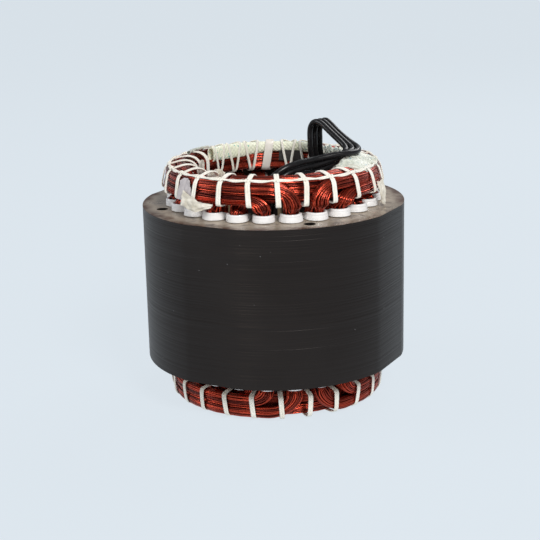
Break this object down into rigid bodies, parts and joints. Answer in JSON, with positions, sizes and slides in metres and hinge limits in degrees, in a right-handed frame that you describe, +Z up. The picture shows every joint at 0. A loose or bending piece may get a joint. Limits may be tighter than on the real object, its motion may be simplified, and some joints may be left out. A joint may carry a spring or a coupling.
{
  "type": "motor stator",
  "caption": "Wound stator of a polyphase induction motor: laminated core with side flats and bolt holes, lined slots, laced copper end windings, short flying leads.",
  "frame": {"origin": "on the bore axis, level with the lowest lacing, where the stator stands on a table", "axes": "+Z up along the bore, towards the lead end; +X and +Y square to two neighbouring side flats"},
  "size_m": [0.147, 0.147, 0.1569],
  "materials": {
    "core": "dark oxide film on stacked steel laminations, thin brown rust on the end faces",
    "copper": "red-brown varnish enamel over copper magnet wire, semi-gloss",
    "liner": "white polyester film and paper laminate, satin",
    "lacing": "ivory braided polyester lacing cord, varnished, matte",
    "tie": "natural nylon strap",
    "sleeve": "pale green-white varnished glass-fibre sleeving with blue tracer threads",
    "paper": "grey-white aramid phase paper, matte, creased",
    "tape": "off-white cotton and glass tape, frayed",
    "lead": "black insulation, glossy",
    "terminal": "tinned brass, semi-gloss"
  },
  "bodies": {
    "root": {"lamination_stack": "core", "slot_liner_1": "liner", "slot_liner_2": "liner", "slot_liner_3": "liner", "slot_liner_4": "liner", "slot_liner_5": "liner", "slot_liner_6": "liner", "slot_liner_7": "liner", "slot_liner_8": "liner", "slot_liner_9": "liner", "slot_liner_10": "liner", "slot_liner_11": "liner", "slot_liner_12": "liner", "slot_liner_13": "liner", "slot_liner_14": "liner", "slot_liner_15": "liner", "slot_liner_16": "liner", "slot_liner_17": "liner", "slot_liner_18": "liner", "slot_liner_19": "liner", "slot_liner_20": "liner", "slot_liner_21": "liner", "slot_liner_22": "liner", "slot_liner_23": "liner", "slot_liner_24": "liner", "coil_a1": "copper", "coil_a2": "copper", "coil_a3": "copper", "coil_a4": "copper", "coil_b1": "copper", "coil_b2": "copper", "coil_b3": "copper", "coil_b4": "copper", "coil_c1": "copper", "coil_c2": "copper", "coil_c3": "copper", "coil_c4": "copper", "lacing_top": "lacing", "lacing_bottom": "lacing", "cable_tie": "tie", "joint_sleeve_rear": "sleeve", "joint_sleeve_right": "sleeve", "splice_sleeve_left": "sleeve", "phase_paper_left": "paper", "phase_paper_rear": "paper", "tape_tail_left": "tape", "tape_tail_right": "tape", "lead_u": "lead", "terminal_u": "terminal", "lead_v": "lead", "terminal_v": "terminal", "lead_w": "lead", "terminal_w": "terminal"}
  },
  "joints": []
}
